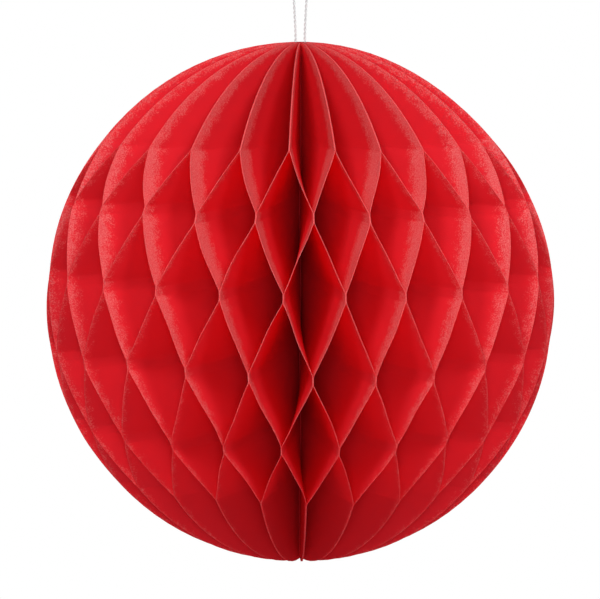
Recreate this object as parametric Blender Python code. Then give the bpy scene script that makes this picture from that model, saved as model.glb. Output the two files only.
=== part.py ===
"""Honeycomb paper ball on a hanging cord.

The ball is a stack of tissue paper half discs. Straight lines of glue join each sheet to the
next, in rows that alternate between one neighbour and the other, and the stack is opened like
a fan about its straight edges until its first and last sheets meet. Every glued column stands
on a meridian of the ball, and the sheets swing from column to column between the rows. The
straight edges are glued together as a spine, and a loop of cord runs through its top.

Metres, +Z up. The origin is the ball's centre, the sheets' straight edges lie on the Z axis,
and angles about it run from the front, which is -Y, towards +X.
"""

import math

import bmesh
import bpy
import numpy as np

# The ball
BALL_WIDTH = 0.200
BALL_HEIGHT = 0.2047
SHEET_COUNT = 46
SHEET_THICKNESS = 0.0003
GLUE_THICKNESS = 0.0001

# Height of each glued row on the ball, from the top one down, and the width of its glue
GLUE_HEIGHTS = (0.0663, 0.0410, 0.0125, -0.0173, -0.0456, -0.0697)
GLUE_WIDTH = 0.004

# Columns are closer together near the seam, where the first and the last sheet are joined
FRONT_COLUMN_DEGREES = -4.0
SEAM_COLUMN = 2
SEAM_SQUEEZE = 0.18
SEAM_SPREAD = 7.5

# Sections of the ball between two rows, and from the outermost rows to the poles
SECTIONS_BETWEEN_ROWS = 1
SECTIONS_TO_POLE = 6

# The cord's route across the ball and above its top pole, and the hole punched for it
CORD_DIAMETER = 0.001
CORD_POINT_SPACING = 0.00125
ROUTE_SAMPLES_PER_SPAN = 24
CORD_ROUTE = (
    (0.0004, -0.01035),
    (0.0016, -0.00975),
    (0.0022, -0.00815),
    (0.0020, -0.00435),
    (0.0018, -0.00005),
    (0.0019, 0.00565),
    (0.0025, 0.01655),
    (0.0032, 0.02105),
    (0.0023, 0.02335),
    (0.0000, 0.02425),
    (-0.0023, 0.02335),
    (-0.0032, 0.02105),
    (-0.0025, 0.01655),
    (-0.0019, 0.00565),
    (-0.0018, -0.00005),
    (-0.0020, -0.00435),
    (-0.0022, -0.00815),
    (-0.0016, -0.00975),
    (-0.0004, -0.01035),
)
HOLE_CLEARANCE = 0.0003
HOLE_WALL = 0.0005
HOLE_OVERRUN = 0.003

# The spine of glued edges: the sheets fill at most this share of the room around it
SHEETS_FILL = 0.85
SPINE_CLEARANCE = 0.0001
SPINE_SIDES = 48

# Corners closer together than this are one
WELD_DISTANCE = 1e-7

RED_TISSUE = (0.62, 0.010, 0.014)
WHITE_COTTON = (0.82, 0.82, 0.80)


def clear_scene():
    """Remove what the scene holds before the ball is built."""
    for scene_object in list(bpy.data.objects):
        bpy.data.objects.remove(scene_object, do_unlink=True)


def new_collection(name):
    """A collection of that name in the scene."""
    collection = bpy.data.collections.new(name)
    bpy.context.scene.collection.children.link(collection)
    return collection


def matte_material(name, color, roughness):
    """A matte material of one colour."""
    material = bpy.data.materials.new(name)
    material.use_nodes = True
    shader = material.node_tree.nodes["Principled BSDF"]
    shader.inputs["Base Color"].default_value = (*color, 1.0)
    shader.inputs["Roughness"].default_value = roughness
    shader.inputs["Metallic"].default_value = 0.0
    return material


def column_gaps():
    """Angle from each glued column to the next, starting at the front one."""
    step = np.arange(SHEET_COUNT) + 0.5 - SEAM_COLUMN
    from_seam = (step + SHEET_COUNT / 2) % SHEET_COUNT - SHEET_COUNT / 2
    share = 1 - SEAM_SQUEEZE * np.exp(-((from_seam / SEAM_SPREAD) ** 2))
    return share * 2 * math.pi / share.sum()


def column_angles():
    """Angle of each glued column, with one more at the end that closes the round."""
    turned = np.concatenate([[0.0], np.cumsum(column_gaps())])
    return math.radians(FRONT_COLUMN_DEGREES) + turned


def rim_radius(height):
    """Distance of the sheets' cut rim from the axis at a height."""
    return BALL_WIDTH / 2 * math.sqrt(max(0.0, 1 - (2 * height / BALL_HEIGHT) ** 2))


def cord_route(spacing):
    """Evenly spaced points on a Catmull-Rom curve through the cord's route."""
    p = np.array(CORD_ROUTE) + np.array([0, BALL_HEIGHT / 2])
    p = np.vstack([2 * p[0] - p[1], p, 2 * p[-1] - p[-2]])
    t = np.linspace(0, 1, ROUTE_SAMPLES_PER_SPAN, endpoint=False)[:, None]
    runs = []
    for a, b, c, d in zip(p, p[1:], p[2:], p[3:]):
        bend = (2 * a - 5 * b + 4 * c - d) * t**2 + (3 * b - a - 3 * c + d) * t**3
        runs.append(b + ((c - a) * t + bend) / 2)
    line = np.vstack(runs + [p[-2:-1]])
    along = np.concatenate([[0], np.cumsum(np.linalg.norm(np.diff(line, axis=0), axis=1))])
    count = max(2, round(along[-1] / spacing) + 1)
    even = np.linspace(0, along[-1], count)
    return np.column_stack([np.interp(even, along, line[:, k]) for k in range(2)])


def tube(name, points, radius, collection):
    """A round tube along points in the XZ plane."""
    curve = bpy.data.curves.new(name, "CURVE")
    curve.dimensions = "3D"
    curve.bevel_depth = radius
    curve.bevel_resolution = 2
    curve.use_fill_caps = True
    spline = curve.splines.new("POLY")
    spline.points.add(len(points) - 1)
    for point, (x, z) in zip(spline.points, points):
        point.co = (x, 0, z, 1)
    tube_object = bpy.data.objects.new(name, curve)
    collection.objects.link(tube_object)
    return tube_object


def as_mesh_object(curve_object, collection):
    """The curve object made a mesh object of the same name, with its caps welded on."""
    name = curve_object.name
    bpy.context.view_layer.update()
    evaluated = curve_object.evaluated_get(bpy.context.evaluated_depsgraph_get())
    mesh = bpy.data.meshes.new_from_object(evaluated)
    work = bmesh.new()
    work.from_mesh(mesh)
    bmesh.ops.remove_doubles(work, verts=work.verts, dist=WELD_DISTANCE)
    bmesh.ops.recalc_face_normals(work, faces=work.faces)
    work.to_mesh(mesh)
    work.free()
    place = curve_object.matrix_world.copy()
    bpy.data.objects.remove(curve_object, do_unlink=True)
    mesh_object = bpy.data.objects.new(name, mesh)
    mesh_object.matrix_world = place
    collection.objects.link(mesh_object)
    return mesh_object


def spine_radius():
    """Radius of the glued spine: room for a glued pair of sheets, and for the cord's hole."""
    pair = 2 * SHEET_THICKNESS + GLUE_THICKNESS
    room_for_sheets = pair / (SHEETS_FILL * 2 * column_gaps().min())
    hole_reach = max(abs(x) for x, rise in CORD_ROUTE if rise < 0)
    room_for_hole = hole_reach + CORD_DIAMETER / 2 + HOLE_CLEARANCE + HOLE_WALL
    return max(room_for_sheets, room_for_hole)


def pole_height(radius):
    """Height at which the ball is only that far out from its axis."""
    return BALL_HEIGHT / 2 * math.sin(math.acos(2 * radius / BALL_WIDTH))


def polar_heights(row_edge, inner):
    """Heights from a row's edge to the end of the sheets beyond it, even in latitude."""
    half = BALL_HEIGHT / 2
    edge = math.asin(abs(row_edge) / half)
    pole = math.asin(pole_height(inner) / half)
    latitudes = np.linspace(edge, pole, SECTIONS_TO_POLE + 1)[1:]
    return [math.copysign(half * math.sin(latitude), row_edge) for latitude in latitudes]


def levels(inner):
    """Height and swing of each section, from the top down.

    The swing is -1 where even columns are glued, as in the top row, and +1 where odd ones are.
    """
    half_glue = GLUE_WIDTH / 2
    rim_room = BALL_HEIGHT / 2 - GLUE_WIDTH * 2
    rows = [(z, 1.0 if n % 2 else -1.0) for n, z in enumerate(GLUE_HEIGHTS) if abs(z) < rim_room]
    top, top_swing = rows[0]
    found = [(z, top_swing) for z in reversed(polar_heights(top + half_glue, inner))]
    for (z, swing), following in zip(rows, rows[1:] + [None]):
        found += [(z + half_glue, swing), (z - half_glue, swing)]
        if following is None:
            continue
        for n in range(1, SECTIONS_BETWEEN_ROWS + 1):
            share = n / (SECTIONS_BETWEEN_ROWS + 1)
            fall = z - half_glue - (following[0] + half_glue)
            found.append((z - half_glue - share * fall, swing + share * (following[1] - swing)))
    bottom, bottom_swing = rows[-1]
    found += [(z, bottom_swing) for z in polar_heights(bottom - half_glue, inner)]
    return found


def sheet_section(sheet, height, swing, angles, inner):
    """Corners of one sheet's section: inner left, rim left, rim right and inner right."""
    left_column = angles[sheet - 1] if sheet else angles[-2] - 2 * math.pi
    to_right = (1 - swing) / 2 if sheet % 2 == 0 else (1 + swing) / 2
    angle = left_column + to_right * (angles[sheet] - left_column)
    middle = (SHEET_THICKNESS + GLUE_THICKNESS) / 2 * (1 - 2 * to_right)
    outward = np.array([math.sin(angle), -math.cos(angle)])
    sideways = np.array([math.cos(angle), math.sin(angle)])
    left = (middle - SHEET_THICKNESS / 2) * sideways
    right = (middle + SHEET_THICKNESS / 2) * sideways
    rim = max(rim_radius(height), inner)
    ends = ((inner, left), (rim, left), (rim, right), (inner, right))
    return [(*(radius * outward + side), height) for radius, side in ends]


def sheet_mesh(name, sections):
    """A sheet of paper as a closed loft through its sections, from the top down."""
    work = bmesh.new()
    rings = [[work.verts.new(corner) for corner in section] for section in sections]
    for upper, lower in zip(rings, rings[1:]):
        # Both faces fold along the same diagonal, or they would pass through each other
        for near, far in ((0, 1), (3, 2)):
            work.faces.new([upper[near], upper[far], lower[far]])
            work.faces.new([upper[near], lower[far], lower[near]])
        work.faces.new([upper[1], upper[2], lower[2], lower[1]])
        work.faces.new([upper[3], upper[0], lower[0], lower[3]])
    bmesh.ops.remove_doubles(work, verts=work.verts, dist=WELD_DISTANCE)
    bmesh.ops.recalc_face_normals(work, faces=work.faces)
    mesh = bpy.data.meshes.new(name)
    work.to_mesh(mesh)
    work.free()
    return mesh


def make_sheets(parts, material):
    """Every sheet of the ball, each swinging between the glued column on its left and its right."""
    angles = column_angles()
    inner = spine_radius() + SPINE_CLEARANCE
    steps = levels(inner)
    for sheet in range(SHEET_COUNT):
        name = f"sheet_{sheet + 1:02d}"
        sections = [sheet_section(sheet, z, swing, angles, inner) for z, swing in steps]
        paper = bpy.data.objects.new(name, sheet_mesh(name, sections))
        paper.data.materials.append(material)
        parts.objects.link(paper)


def make_spine(parts, cutters, material):
    """The glued straight edges as a rod on the axis, with the cord's hole punched at its top."""
    work = bmesh.new()
    radius = spine_radius()
    bmesh.ops.create_cone(
        work,
        cap_ends=True,
        segments=SPINE_SIDES,
        radius1=radius,
        radius2=radius,
        depth=2 * pole_height(radius),
    )
    mesh = bpy.data.meshes.new("glued_spine")
    work.to_mesh(mesh)
    work.free()
    spine = bpy.data.objects.new("glued_spine", mesh)
    spine.data.materials.append(material)
    parts.objects.link(spine)

    top = BALL_HEIGHT / 2
    route = cord_route(CORD_POINT_SPACING)
    middle = len(route) // 2
    rise = [point for point in route[:middle] if point[1] < top + HOLE_OVERRUN]
    drop = [point for point in route[middle:] if point[1] < top + HOLE_OVERRUN]
    hole_radius = CORD_DIAMETER / 2 + HOLE_CLEARANCE
    punch = tube("cord_hole_punch", drop + rise, hole_radius, cutters)
    punch = as_mesh_object(punch, cutters)
    punch.hide_render = True
    punch.display_type = "WIRE"
    hole = spine.modifiers.new("cord_hole", "BOOLEAN")
    hole.operation = "DIFFERENCE"
    hole.solver = "EXACT"
    hole.object = punch


def make_cord(parts):
    """The loop of cord, from inside the spine up over its open end and back down."""
    cord = tube("hanging_cord", cord_route(CORD_POINT_SPACING), CORD_DIAMETER / 2, parts)
    cord.data.materials.append(matte_material("white_cotton", WHITE_COTTON, 0.9))


clear_scene()
ball_parts = new_collection("honeycomb_paper_ball")
ball_cutters = new_collection("cutters")
red_tissue = matte_material("red_tissue", RED_TISSUE, 0.85)
make_sheets(ball_parts, red_tissue)
make_spine(ball_parts, ball_cutters, red_tissue)
make_cord(ball_parts)
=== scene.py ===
import math

import bmesh
import bpy
import numpy as np
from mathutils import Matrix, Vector


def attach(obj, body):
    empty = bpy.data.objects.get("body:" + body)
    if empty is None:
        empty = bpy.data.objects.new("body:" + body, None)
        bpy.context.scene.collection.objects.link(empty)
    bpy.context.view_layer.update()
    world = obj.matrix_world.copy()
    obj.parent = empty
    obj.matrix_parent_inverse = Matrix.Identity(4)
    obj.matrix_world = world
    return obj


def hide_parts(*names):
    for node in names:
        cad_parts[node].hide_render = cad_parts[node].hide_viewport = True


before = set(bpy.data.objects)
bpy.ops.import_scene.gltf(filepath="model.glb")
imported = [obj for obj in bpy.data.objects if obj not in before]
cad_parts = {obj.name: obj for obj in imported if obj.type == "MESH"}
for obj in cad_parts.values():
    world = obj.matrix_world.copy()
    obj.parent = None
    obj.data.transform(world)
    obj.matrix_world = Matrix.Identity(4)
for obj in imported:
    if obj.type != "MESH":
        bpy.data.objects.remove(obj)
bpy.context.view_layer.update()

scene = bpy.context.scene
scene.view_settings.view_transform = "Standard"

# Camera. A long lens 1.35 m in front of the ball and a little above its middle, aimed so that
# the ball stands where the photograph has it.
CAMERA_DISTANCE = 1.350
CAMERA_ELEVATION = math.radians(6.5)
AIM = Vector((-0.0001, 0.0, 0.00086))

camera = bpy.data.objects.new("camera", bpy.data.cameras.new("camera"))
camera.data.sensor_width = 36.0
camera.data.lens = 205.2
camera.data.clip_end = 50.0
away = Vector((0.0, -math.cos(CAMERA_ELEVATION), math.sin(CAMERA_ELEVATION)))
camera.location = AIM + CAMERA_DISTANCE * away
camera.rotation_euler = (-away).to_track_quat("-Z", "Y").to_euler()
scene.collection.objects.link(camera)
scene.camera = camera

# Hanging cord. White cotton cord of two plies twisted together, 1 mm thick, threaded through a
# hole punched in the glued spine under the ball's top pole. Both strands come up out of the
# paper, and the loop closes just above the photograph's upper edge.
BALL_HEIGHT = 0.2047
CORD_DIAMETER = 0.001
CORD_PITCH = 0.0036
CORD_ROUTE = (
    (0.0004, -0.01035),
    (0.0016, -0.00975),
    (0.0022, -0.00815),
    (0.0020, -0.00435),
    (0.0018, -0.00005),
    (0.0019, 0.00565),
    (0.0025, 0.01655),
    (0.0032, 0.02105),
    (0.0023, 0.02335),
    (0.0000, 0.02425),
    (-0.0023, 0.02335),
    (-0.0032, 0.02105),
    (-0.0025, 0.01655),
    (-0.0019, 0.00565),
    (-0.0018, -0.00005),
    (-0.0020, -0.00435),
    (-0.0022, -0.00815),
    (-0.0016, -0.00975),
    (-0.0004, -0.01035),
)


def smooth_route(route, spacing):
    """Evenly spaced points on the Catmull-Rom curve through a route, in the XZ plane.

    Between two points b and c, with a before and d after them, the curve is
    b + ((c - a) t + (2a - 5b + 4c - d) t^2 + (3b - a - 3c + d) t^3) / 2.
    """
    p = np.array(route) + np.array([0, BALL_HEIGHT / 2])
    p = np.vstack([2 * p[0] - p[1], p, 2 * p[-1] - p[-2]])
    t = np.linspace(0, 1, 24, endpoint=False)[None, :, None]
    a, b, c, d = (p[k : len(p) - 3 + k, None, :] for k in range(4))
    bend = (2 * a - 5 * b + 4 * c - d) * t**2 + (3 * b - a - 3 * c + d) * t**3
    line = np.vstack([(b + ((c - a) * t + bend) / 2).reshape(-1, 2), p[-2:-1]])
    along = np.concatenate([[0], np.cumsum(np.linalg.norm(np.diff(line, axis=0), axis=1))])
    even = np.linspace(0, along[-1], max(2, round(along[-1] / spacing) + 1))
    flat = np.column_stack([np.interp(even, along, line[:, k]) for k in range(2)])
    return np.column_stack([flat[:, 0], np.zeros(len(flat)), flat[:, 1]]), along[-1]


def smooth_mesh(name, points, faces, sharp_degrees=180.0):
    """A mesh object from points and faces, with its faces outwards and shaded smooth."""
    mesh = bpy.data.meshes.new(name)
    mesh.from_pydata(points.tolist(), [], faces)
    work = bmesh.new()
    work.from_mesh(mesh)
    bmesh.ops.recalc_face_normals(work, faces=work.faces)
    work.to_mesh(mesh)
    work.free()
    mesh.shade_smooth()
    if sharp_degrees < 180.0:
        mesh.set_sharp_from_angle(angle=math.radians(sharp_degrees))
    made = bpy.data.objects.new(name, mesh)
    scene.collection.objects.link(made)
    return made


def twisted_plies(line, length, sides=12):
    """Two round plies that wind about the cord's line, half a turn apart.

    At distance s a ply's centre is the line plus a quarter of the diameter times
    (cos w, sin w) in the plane across the line, where w = 2 pi s / pitch + its own half turn.
    The ply is a ring of that same radius about its centre.
    """
    s = np.linspace(0, length, len(line))
    ahead = np.gradient(line, s, axis=0)
    ahead /= np.linalg.norm(ahead, axis=1, keepdims=True)
    depth = np.array([0.0, 1.0, 0.0])
    across = np.cross(depth, ahead)
    around = np.linspace(0, 2 * math.pi, sides, endpoint=False)
    radius = CORD_DIAMETER / 4
    points, faces = [], []
    ring = np.arange(sides)
    for half_turn in (0.0, math.pi):
        turn = 2 * math.pi * s / CORD_PITCH + half_turn
        centre = line + radius * (
            np.cos(turn)[:, None] * across + np.sin(turn)[:, None] * depth
        )
        out = (
            np.cos(around)[None, :, None] * across[:, None, :]
            + np.sin(around)[None, :, None] * depth[None, None, :]
        )
        tube = centre[:, None, :] + 0.985 * radius * out
        first = sum(len(part) for part in points)
        start = first + sides * np.arange(len(line) - 1)[:, None]
        following = (ring + 1) % sides
        quads = np.stack(
            [start + ring, start + following, start + sides + following, start + sides + ring],
            axis=-1,
        )
        faces += quads.reshape(-1, 4).tolist()
        faces += [(first + ring).tolist(), (first + sides * (len(line) - 1) + ring).tolist()]
        points.append(tube.reshape(-1, 3))
    return np.vstack(points), faces


def cotton_material():
    """White cotton yarn: fine fibres that run along the twist, with painted shade that makes the
    hollows of their bump greyer.
    """
    material = bpy.data.materials.new("white_cotton")
    material.use_nodes = True
    tree = material.node_tree
    nodes, links = tree.nodes, tree.links
    shader = nodes["Principled BSDF"]
    shader.inputs["Roughness"].default_value = 0.9
    shader.inputs["Sheen Weight"].default_value = 0.25
    place = nodes.new("ShaderNodeTexCoord")
    fibres = nodes.new("ShaderNodeTexNoise")
    fibres.inputs["Scale"].default_value = 5200.0
    fibres.inputs["Detail"].default_value = 2.0
    links.new(place.outputs["Object"], fibres.inputs["Vector"])
    # The fibre noise that lowers the bump also greys the colour there: painted shade in the hollows.
    tint = nodes.new("ShaderNodeMix")
    tint.data_type = "RGBA"
    tint.inputs[6].default_value = (0.56, 0.565, 0.57, 1.0)
    tint.inputs[7].default_value = (0.78, 0.785, 0.79, 1.0)
    links.new(fibres.outputs["Fac"], tint.inputs[0])
    links.new(tint.outputs[2], shader.inputs["Base Color"])
    raised = nodes.new("ShaderNodeBump")
    raised.inputs["Strength"].default_value = 0.5
    raised.inputs["Distance"].default_value = 0.00005
    links.new(fibres.outputs["Fac"], raised.inputs["Height"])
    links.new(raised.outputs["Normal"], shader.inputs["Normal"])
    return material


cord_line, cord_length = smooth_route(CORD_ROUTE, 0.0003)
cord_points, cord_faces = twisted_plies(cord_line, cord_length)
cord = smooth_mesh("cotton_cord", cord_points, cord_faces, 60.0)
cord.data.materials.append(cotton_material())
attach(cord, "root")
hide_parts("hanging_cord")

# Tissue sheets. Forty-six half discs of red tissue paper, cut together. Glue lines 3 mm wide
# bond each sheet to the next in rows that alternate between its two neighbours, and the stack
# is fanned about its straight edges, so that every sheet swings from column to column.
BALL_WIDTH = 0.200
SHEET_COUNT = 46
PAPER_THICKNESS = 0.00022
GLUE_THICKNESS = 0.00004
GLUE_HEIGHTS = np.array([0.0663, 0.0410, 0.0125, -0.0173, -0.0456, -0.0697])
GLUE_WIDTH = 0.003
FRONT_COLUMN_DEGREES = -4.0
SEAM_COLUMN = 2
SEAM_SQUEEZE = 0.18
SEAM_SPREAD = 7.5
INNER_EDGE = 0.0033
SOFT_BEND = 0.02
COLUMN_LEAN = math.radians(0.4)
GLUE_LIFT = 0.0006
WAVE_DEPTH = 0.0005
PRESSED_IN = 0.035
PRESSED_RIGHT = 0.030

# How the glue lines on the ball's front lie off their even places, row by row from the top:
# column, degrees towards +X, and millimetres upwards
FRONT_GLUE = (
    ((38, 1.2, -0.5), (40, 0.5, -0.7), (42, 0.7, -0.5), (44, 1.0, 0.1), (0, 0.9, 0.4)),
    ((2, 0.2, 0.2), (4, 0.0, -0.4), (6, 0.0, -0.5), (8, 0.6, -0.7)),
    ((39, 0.2, 0.1), (41, 0.2, 1.2), (43, 0.2, -0.6), (45, 0.6, 0.2), (1, 0.3, 0.3)),
    ((3, 0.0, -0.3), (5, -0.1, -0.4), (7, -0.2, -0.4), (9, 0.0, -0.9)),
    ((38, 0.0, 0.6), (40, -0.3, 0.7), (42, -0.1, 0.8), (44, 0.6, 0.5), (0, 0.4, -0.1)),
    ((2, 0.1, -0.1), (4, -0.1, -0.5), (6, 0.1, -0.7), (8, 0.3, -0.5)),
    ((39, -0.7, -0.1), (41, -0.7, 2.0), (43, -0.3, 0.9), (45, -0.2, 0.1), (1, -0.1, -1.1)),
    ((3, 0.1, -1.4), (5, 0.2, -1.5), (7, 0.4, 0.3), (9, 0.5, 0.9)),
    ((40, -0.6, 0.1), (42, 0.0, -0.6), (44, -0.6, -0.2), (0, -0.5, 0.1)),
    ((2, -0.3, -0.4), (4, 0.4, -0.3), (6, 0.6, 0.8)),
    ((43, 0.2, 0.8), (45, -0.5, 0.5)),
    ((1, -1.1, 0.0), (3, -0.7, -0.7), (5, 0.3, -0.5)),
)

# The painted sheen's depth at the top, its loss at the sides, its gain where the paper faces up, and
# what the wavy edge takes off it. The sheen is painted light: pale pink that stands for light
# falling on the sheets near their rims. Then the depth, angle, spread and height of a painted
# lit patch on the left side.
SHEEN_DEPTH = 0.0125
SHEEN_SIDE_LOSS = 0.8
SHEEN_UPWARD_GAIN = 1.4
SHEEN_EDGE_LOSS = 0.0016
# Painted lit patch: where light falls on the left side's sheets, the sheen is painted deeper.
LIT_PATCH_DEPTH = 0.009
LIT_PATCH_ANGLE = -1.2
LIT_PATCH_SPREAD = 0.25
LIT_PATCH_HEIGHT = 0.018

DEEP_RED = (0.87, 0.034, 0.055, 1.0)
# Pale pink painted on as a sheen: it stands for direct light on the paper near the rims.
PAINTED_SHEEN_PINK = (0.96, 0.29, 0.29, 1.0)
RED_THROUGH = (0.98, 0.022, 0.040, 1.0)
GLUED_RED = (0.62, 0.020, 0.030, 1.0)


def column_angles():
    """Angle of each glued column: even steps, drawn closer around the seam by a bell curve."""
    step = np.arange(SHEET_COUNT) + 0.5 - SEAM_COLUMN
    from_seam = (step + SHEET_COUNT / 2) % SHEET_COUNT - SHEET_COUNT / 2
    share = 1 - SEAM_SQUEEZE * np.exp(-((from_seam / SEAM_SPREAD) ** 2))
    turned = np.cumsum(share * 2 * math.pi / share.sum())
    return math.radians(FRONT_COLUMN_DEGREES) + np.concatenate([[0.0], turned[:-1]])


def rim_radius(height, angle):
    """Distance of the cut rim from the axis: an ellipse of the ball's width and height.

    Above the middle it is drawn in by a share that grows as the square of the height, most
    of all on the front right, where the real ball has been pressed a little.
    """
    ellipse = BALL_WIDTH / 2 * np.sqrt(np.maximum(0.0, 1 - (2 * height / BALL_HEIGHT) ** 2))
    rise = np.maximum(0.0, 2 * height / BALL_HEIGHT) ** 2
    return ellipse * (1 - rise * (PRESSED_IN + PRESSED_RIGHT * np.sin(angle)))


def sheet_levels():
    """Heights of the sections: close together at the glue lines, and even in latitude beyond."""
    half = BALL_HEIGHT / 2
    above = GLUE_WIDTH / 2 + np.array([0.0027, 0.0013, 0.0005, 0.0])
    near = np.concatenate([above, [0.0], -above[::-1]])
    rows = [z + near for z in GLUE_HEIGHTS]
    between = [
        np.linspace(a[-1], b[0], 7)[1:-1] for a, b in zip(rows, rows[1:])
    ]
    pole = half * math.sqrt(1 - (2 * (INNER_EDGE + 0.0006) / BALL_WIDTH) ** 2)
    ends = []
    for edge, side in ((rows[0][0], 1), (-rows[-1][-1], -1)):
        latitude = np.linspace(math.asin(pole / half), math.asin(edge / half), 13)[:-1]
        ends.append(side * half * np.sin(latitude))
    return np.sort(np.concatenate(rows + between + ends))[::-1]


def swing_share(height):
    """How far a sheet has swung from its first column (0) to the other (1) at a height.

    It rests at 0 or 1 across each glue line. Between two lines it runs straight, with a
    parabola over the first and last part of the way, as stiff paper bends.
    """
    share = np.zeros_like(height)
    half, bend = GLUE_WIDTH / 2, SOFT_BEND
    for row, (upper, lower) in enumerate(zip(GLUE_HEIGHTS, GLUE_HEIGHTS[1:])):
        way = np.clip((upper - half - height) / (upper - lower - 2 * half), 0, 1)
        eased = np.where(
            way < bend,
            way**2 / (2 * bend * (1 - bend)),
            np.where(
                way > 1 - bend,
                1 - (1 - way) ** 2 / (2 * bend * (1 - bend)),
                (way - bend / 2) / (1 - bend),
            ),
        )
        share += eased if row % 2 == 0 else -eased
    return share


def paper_waves(seed, count, height, out):
    """Slight waves of each sheet: a sum of three sine waves over height and distance out.

    Each has 90 to 260 radians to the metre upwards and 20 to 90 outwards.
    """
    draw = np.random.default_rng(seed)
    total = np.zeros((count, height.shape[-1], out.shape[-1]))
    for _ in range(3):
        tall = draw.uniform(90, 260, (count, 1, 1))
        deep = draw.uniform(20, 90, (count, 1, 1))
        phase = draw.uniform(0, 2 * math.pi, (count, 1, 1))
        total += np.sin(tall * height[:, :, None] + deep * out + phase) / 3
    return total


def painted_sheen_depth(height, angle, facing_up):
    """How far in from the rim a pale painted sheen hides the red: 11 mm at the top, none at the foot.

    The sheen is painted light, standing for light that falls near the rims. It grows by a smooth
    step over the height, is less at the sides by the size of the sine of the angle, and is more
    where the paper faces up, towards the light. A bell-shaped painted lit patch on the left side
    adds 9 mm.
    """
    rise = np.clip(0.5 + height / (0.85 * BALL_HEIGHT), 0, 1)
    rise = rise * rise * (3 - 2 * rise)
    even = SHEEN_DEPTH * rise * (1 - SHEEN_SIDE_LOSS * np.abs(np.sin(angle)))
    # The painted lit patch on the left side.
    aside = (angle - LIT_PATCH_ANGLE) / LIT_PATCH_SPREAD
    lit_patch = LIT_PATCH_DEPTH * np.exp(-(aside**2) - (height / LIT_PATCH_HEIGHT) ** 2)
    turned_up = 1 + SHEEN_UPWARD_GAIN * facing_up
    return even[:, :, None] * turned_up + lit_patch[:, :, None] - SHEEN_EDGE_LOSS


def sheet_surfaces():
    """Points of every sheet, as an array of sheets x levels x ring points x 3.

    With them come the depth of the painted sheen there and each point's distance in from the rim.

    At each level a sheet is a thin strip from the spine out to the rim. Its angle is the
    swing's share of the way between the columns on its left and right, and its two faces
    lie half a thickness to each side of it. Columns lean and glue lines lie a little unevenly.
    """
    draw = np.random.default_rng(11)
    nominal = sheet_levels()
    rows = len(GLUE_HEIGHTS)
    columns = column_angles()
    lean = draw.normal(0, COLUMN_LEAN, (SHEET_COUNT, rows))
    lift = draw.normal(0, GLUE_LIFT, (SHEET_COUNT, rows))
    for line, known in enumerate(FRONT_GLUE):
        for column, degrees, rise in known:
            lean[column, line // 2] = math.radians(degrees)
            lift[column, line // 2] = rise * 0.001
    lean_at = np.array([np.interp(-nominal, -GLUE_HEIGHTS, row) for row in lean])
    column_at = columns[:, None] + lean_at

    sheet = np.arange(SHEET_COUNT)
    even = sheet % 2 == 0
    share = swing_share(nominal)
    to_right = np.where(even[:, None], 1 - share, share)
    right_column = column_at
    left_column = np.roll(column_at, 1, axis=0)
    left_column[0] -= 2 * math.pi
    angle = left_column + to_right * (right_column - left_column)

    glued_right = (np.arange(rows)[None, :] + sheet[:, None]) % 2 == 0
    own_lift = np.where(glued_right, lift, np.roll(lift, 1, axis=0))
    keys = np.concatenate([[-BALL_HEIGHT / 2], -GLUE_HEIGHTS, [BALL_HEIGHT / 2]])
    height = nominal + np.array(
        [np.interp(-nominal, keys, np.concatenate([[0], row, [0]])) for row in own_lift]
    )

    out_share = np.array([0.0, 0.14, 0.28, 0.42, 0.56, 0.68, 0.79, 0.88, 0.95, 1.0])
    rim = rim_radius(height, angle)
    radius = INNER_EDGE + (rim - INNER_EDGE)[:, :, None] * out_share
    loose = 4 * to_right * (1 - to_right)
    wave = WAVE_DEPTH * paper_waves(5, SHEET_COUNT, height, radius)
    wave = wave * loose[:, :, None] * out_share**1.5
    middle = (PAPER_THICKNESS + GLUE_THICKNESS) / 2 * (1 - 2 * to_right)
    middle = middle[:, :, None] + wave

    half = PAPER_THICKNESS / 2
    lateral = np.concatenate([middle - half, (middle + half)[:, :, ::-1]], axis=2)
    radius = np.concatenate([radius, radius[:, :, ::-1]], axis=2)
    sine, cosine = np.sin(angle)[:, :, None], np.cos(angle)[:, :, None]
    x = radius * sine + lateral * cosine
    y = -radius * cosine + lateral * sine
    z = np.broadcast_to(height[:, :, None], x.shape)
    turning = np.gradient(angle, axis=1) / np.gradient(height, axis=1)
    slope = radius * turning[:, :, None]
    side = np.repeat([-1.0, 1.0], len(out_share))
    # Painted sheen: how deep light is painted in from the rim, more on faces turned up to the light.
    painted_sheen = painted_sheen_depth(height, angle, -side * slope / np.sqrt(1 + slope**2))
    return np.stack([x, y, z], axis=-1), painted_sheen, rim[:, :, None] - radius


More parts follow.
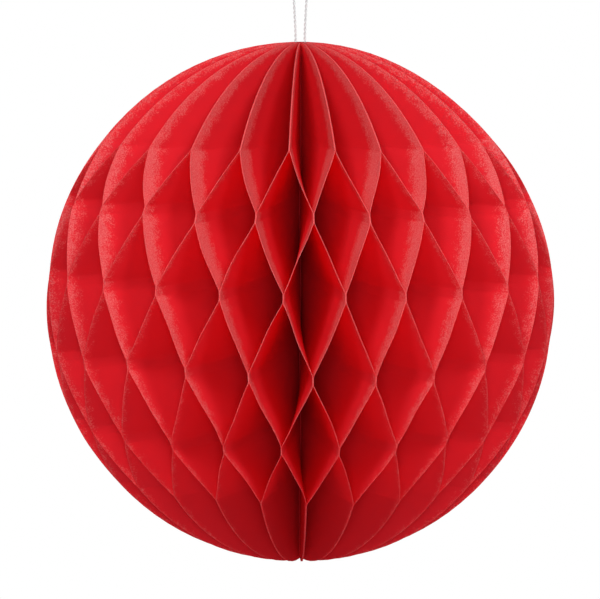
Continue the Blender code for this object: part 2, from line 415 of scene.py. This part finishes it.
def tissue_material():
    """Red tissue paper: light passes through it, and a pale pink sheen is painted on towards the rim.

    The painted sheen stands for light that falls on the sheets near their rims. It ends at its
    depth from the rim, give or take two wavy millimetres, and is speckled as finely as the
    fibres. The last half millimetre of the cut edge is painted pale, partly as frayed fibres and
    partly as a painted highlight along the edge.
    Next to the spine glue has soaked the paper darker.
    """
    material = bpy.data.materials.new("red_tissue")
    material.use_nodes = True
    tree = material.node_tree
    nodes, links = tree.nodes, tree.links

    def noise(scale, detail):
        made = nodes.new("ShaderNodeTexNoise")
        made.inputs["Scale"].default_value = scale
        made.inputs["Detail"].default_value = detail
        links.new(place.outputs["Object"], made.inputs["Vector"])
        return made.outputs["Fac"]

    def reach(value, low, high, start, end):
        made = nodes.new("ShaderNodeMapRange")
        for name, number in zip(("From Min", "From Max", "To Min", "To Max"), (low, high, start, end)):
            made.inputs[name].default_value = number
        links.new(value, made.inputs["Value"])
        return made.outputs["Result"]

    def joined(operation, one, other):
        made = nodes.new("ShaderNodeMath")
        made.operation = operation
        links.new(one, made.inputs[0])
        links.new(other, made.inputs[1])
        return made.outputs[0]

    def point_value(name):
        made = nodes.new("ShaderNodeAttribute")
        made.attribute_name = name
        return made.outputs["Fac"]

    place = nodes.new("ShaderNodeTexCoord")
    grain = noise(2000.0, 3.0)
    from_rim = point_value("from_rim")
    wavy = reach(noise(330.0, 4.0), 0.35, 0.65, -0.0015, 0.0015)
    ragged = joined("ADD", wavy, reach(grain, 0.35, 0.65, -0.0022, 0.0022))
    # The painted sheen's depth, read from the points, against the distance from the rim.
    inside = joined("SUBTRACT", joined("ADD", point_value("painted_sheen"), ragged), from_rim)
    covered = reach(inside, -0.0025, 0.0025, 0.0, 1.0)
    speckled = joined("MULTIPLY", covered, reach(grain, 0.35, 0.65, 0.3, 1.0))
    # The cut edge painted pale: partly frayed fibres, partly a painted highlight along the rim.
    frayed_edge_highlight = reach(from_rim, 0.0002, 0.0008, 0.16, 0.0)
    painted_sheen = joined("MAXIMUM", speckled, frayed_edge_highlight)

    paper = nodes["Principled BSDF"]
    paper.inputs["Roughness"].default_value = 0.9
    paper.inputs["Specular IOR Level"].default_value = 0.05
    tint = nodes.new("ShaderNodeMix")
    tint.data_type = "RGBA"
    tint.inputs[6].default_value = DEEP_RED
    tint.inputs[7].default_value = PAINTED_SHEEN_PINK
    links.new(painted_sheen, tint.inputs[0])
    soaked = nodes.new("ShaderNodeMix")
    soaked.data_type = "RGBA"
    soaked.inputs[7].default_value = GLUED_RED
    links.new(reach(from_rim, 0.090, 0.095, 0.0, 1.0), soaked.inputs[0])
    links.new(tint.outputs[2], soaked.inputs[6])
    links.new(soaked.outputs[2], paper.inputs["Base Color"])
    raised = nodes.new("ShaderNodeBump")
    raised.inputs["Strength"].default_value = 0.6
    raised.inputs["Distance"].default_value = 0.00025
    links.new(grain, raised.inputs["Height"])
    links.new(raised.outputs["Normal"], paper.inputs["Normal"])

    through = nodes.new("ShaderNodeBsdfTranslucent")
    through.inputs["Color"].default_value = RED_THROUGH
    both = nodes.new("ShaderNodeMixShader")
    both.inputs["Fac"].default_value = 0.55
    links.new(paper.outputs["BSDF"], both.inputs[1])
    links.new(through.outputs["BSDF"], both.inputs[2])
    links.new(both.outputs["Shader"], nodes["Material Output"].inputs["Surface"])
    return material


red_tissue = tissue_material()
surface, rim_sheen, from_rim = sheet_surfaces()
sheets, levels_made, ring_size = surface.shape[:3]
ring = np.arange(ring_size)
next_ring = (ring + 1) % ring_size
level_start = ring_size * (
    levels_made * np.arange(sheets)[:, None, None] + np.arange(levels_made - 1)[None, :, None]
)
sheet_quads = np.stack(
    [
        level_start + ring,
        level_start + next_ring,
        level_start + ring_size + next_ring,
        level_start + ring_size + ring,
    ],
    axis=-1,
).reshape(-1, 4)
ends = np.stack([np.arange(sheets) * levels_made, (np.arange(sheets) + 1) * levels_made - 1])
end_caps = (ring_size * ends.reshape(-1, 1) + ring).tolist()
tissue = smooth_mesh("tissue_sheets", surface.reshape(-1, 3), sheet_quads.tolist() + end_caps, 50.0)
tissue.data.materials.append(red_tissue)
# The painted sheen's depth and the distance from the rim go onto the points.
for name, values in (("painted_sheen", rim_sheen), ("from_rim", from_rim)):
    layer = tissue.data.attributes.new(name, "FLOAT", "POINT")
    layer.data.foreach_set("value", values.astype(np.float32).ravel())
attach(tissue, "root")
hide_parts(*[f"sheet_{number + 1:02d}" for number in range(SHEET_COUNT)])

# Glued spine. The straight edges of all the sheets are glued to each other along the axis, and
# make a thin stiff rod there. The cord's hole is punched through its top.
SPINE_RADIUS = 0.0034
SPINE_TAPER = 0.0006
HOLE_RADIUS = 0.0008
HOLE_ROUTE = CORD_ROUTE[-6:] + CORD_ROUTE[:6]


def turned_rod(sides=48):
    """A rod turned about the axis: its profile is straight, with a small bevel at each end."""
    end = BALL_HEIGHT / 2 * math.sqrt(1 - (2 * SPINE_RADIUS / BALL_WIDTH) ** 2)
    profile = np.array(
        [
            (SPINE_RADIUS - SPINE_TAPER, end),
            (SPINE_RADIUS, end - SPINE_TAPER),
            (SPINE_RADIUS, 0.0),
            (SPINE_RADIUS, SPINE_TAPER - end),
            (SPINE_RADIUS - SPINE_TAPER, -end),
        ]
    )
    turn = np.linspace(0, 2 * math.pi, sides, endpoint=False)
    points = np.stack(
        [
            profile[:, 0, None] * np.cos(turn),
            profile[:, 0, None] * np.sin(turn),
            np.broadcast_to(profile[:, 1, None], (len(profile), sides)),
        ],
        axis=-1,
    ).reshape(-1, 3)
    around = np.arange(sides)
    following = (around + 1) % sides
    start = sides * np.arange(len(profile) - 1)[:, None]
    quads = np.stack(
        [start + around, start + following, start + sides + following, start + sides + around],
        axis=-1,
    ).reshape(-1, 4)
    caps = [around.tolist(), (sides * (len(profile) - 1) + around).tolist()]
    return points, quads.tolist() + caps


def round_tube(line, radius, sides=16):
    """A closed tube: at each point of the line stands a ring across the line's direction."""
    ahead = np.gradient(line, axis=0)
    ahead /= np.linalg.norm(ahead, axis=1, keepdims=True)
    depth = np.array([0.0, 1.0, 0.0])
    across = np.cross(depth, ahead)
    around = np.linspace(0, 2 * math.pi, sides, endpoint=False)[None, :, None]
    rings = line[:, None, :] + radius * (
        np.cos(around) * across[:, None, :] + np.sin(around) * depth
    )
    edge = np.arange(sides)
    following = (edge + 1) % sides
    start = sides * np.arange(len(line) - 1)[:, None]
    quads = np.stack(
        [start + edge, start + following, start + sides + following, start + sides + edge],
        axis=-1,
    ).reshape(-1, 4)
    caps = [edge.tolist(), (sides * (len(line) - 1) + edge).tolist()]
    return rings.reshape(-1, 3), quads.tolist() + caps


def cut_away(body, cutter):
    """Take the cutter's volume out of a body, and delete the cutter."""
    cut = body.modifiers.new("cut", "BOOLEAN")
    cut.operation = "DIFFERENCE"
    cut.solver = "EXACT"
    cut.object = cutter
    ready = body.evaluated_get(bpy.context.evaluated_depsgraph_get())
    finished = bpy.data.meshes.new_from_object(ready)
    body.modifiers.clear()
    body.data = finished
    bpy.data.objects.remove(cutter)


rod_points, rod_faces = turned_rod()
spine = smooth_mesh("glued_edges", rod_points, rod_faces, 40.0)
hole_line, _ = smooth_route(HOLE_ROUTE, 0.0005)
hole_points, hole_faces = round_tube(hole_line, HOLE_RADIUS)
cut_away(spine, smooth_mesh("punched_hole", hole_points, hole_faces, 60.0))
spine.data.materials.append(red_tissue)
# The spine gets no painted sheen.
for name, value in (("painted_sheen", 0.0), ("from_rim", BALL_WIDTH / 2)):
    layer = spine.data.attributes.new(name, "FLOAT", "POINT")
    layer.data.foreach_set("value", [value] * len(spine.data.vertices))
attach(spine, "root")
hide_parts("glued_spine")

# Stage. A pale floor far below the hanging ball and out of the photograph's view, in a white
# surrounding that only the camera, gloss and glass see at full strength. The paper's red glow
# comes from light that passes from cell to cell, so the light may turn many times.
scene.cycles.max_bounces = 32
scene.cycles.diffuse_bounces = 24
scene.cycles.transmission_bounces = 24
FLOOR_HEIGHT = -1.6
FLOOR_RADIUS = 4.0
FILL_LEVEL = 0.12

bpy.ops.mesh.primitive_circle_add(vertices=96, radius=FLOOR_RADIUS, fill_type="NGON")
floor = bpy.context.object
floor.name = "floor"
floor.location = (0.0, 0.0, FLOOR_HEIGHT)
floor_material = bpy.data.materials.new("pale_floor")
floor_material.use_nodes = True
floor_shader = floor_material.node_tree.nodes["Principled BSDF"]
floor_shader.inputs["Base Color"].default_value = (0.86, 0.86, 0.86, 1.0)
floor_shader.inputs["Roughness"].default_value = 0.8
floor.data.materials.append(floor_material)

world = bpy.data.worlds.new("white_surrounding")
scene.world = world
world.use_nodes = True
world_nodes, world_links = world.node_tree.nodes, world.node_tree.links
sky = world_nodes["Background"]
sky.inputs["Color"].default_value = (1.0, 1.0, 1.0, 1.0)
path = world_nodes.new("ShaderNodeLightPath")
seen = world_nodes.new("ShaderNodeMath")
seen.operation = "MAXIMUM"
world_links.new(path.outputs["Is Glossy Ray"], seen.inputs[0])
world_links.new(path.outputs["Is Transmission Ray"], seen.inputs[1])
not_scattered = world_nodes.new("ShaderNodeMath")
not_scattered.operation = "SUBTRACT"
not_scattered.use_clamp = True
world_links.new(seen.outputs[0], not_scattered.inputs[0])
world_links.new(path.outputs["Is Diffuse Ray"], not_scattered.inputs[1])
straight = world_nodes.new("ShaderNodeMath")
straight.operation = "MAXIMUM"
world_links.new(not_scattered.outputs[0], straight.inputs[0])
world_links.new(path.outputs["Is Camera Ray"], straight.inputs[1])
strength = world_nodes.new("ShaderNodeMapRange")
strength.inputs["To Min"].default_value = FILL_LEVEL
strength.inputs["To Max"].default_value = 1.0
world_links.new(straight.outputs[0], strength.inputs["Value"])
world_links.new(strength.outputs["Result"], sky.inputs["Strength"])


def softbox(name, azimuth, elevation, distance, size, level):
    """A square lamp that faces the ball from an azimuth towards +X and an elevation.

    A white card at the ball that faces the lamp shows at the level given. From a small lamp
    of power P at distance d that level is P / (pi d)^2.
    """
    lamp = bpy.data.lights.new(name, "AREA")
    lamp.shape = "SQUARE"
    lamp.size = size
    lamp.energy = level * (math.pi * distance) ** 2
    turn, rise = math.radians(azimuth), math.radians(elevation)
    toward = Vector(
        (math.cos(rise) * math.sin(turn), -math.cos(rise) * math.cos(turn), math.sin(rise))
    )
    made = bpy.data.objects.new(name, lamp)
    made.location = distance * toward
    made.rotation_euler = toward.to_track_quat("Z", "Y").to_euler()
    scene.collection.objects.link(made)


softbox("right_softbox", 30.0, 40.0, 2.2, 0.55, 0.40)
softbox("left_softbox", -24.0, 43.0, 2.2, 0.55, 0.45)
softbox("front_softbox", 0.0, 7.0, 2.4, 0.50, 0.44)
softbox("back_softbox", 180.0, -5.0, 2.2, 1.00, 0.70)
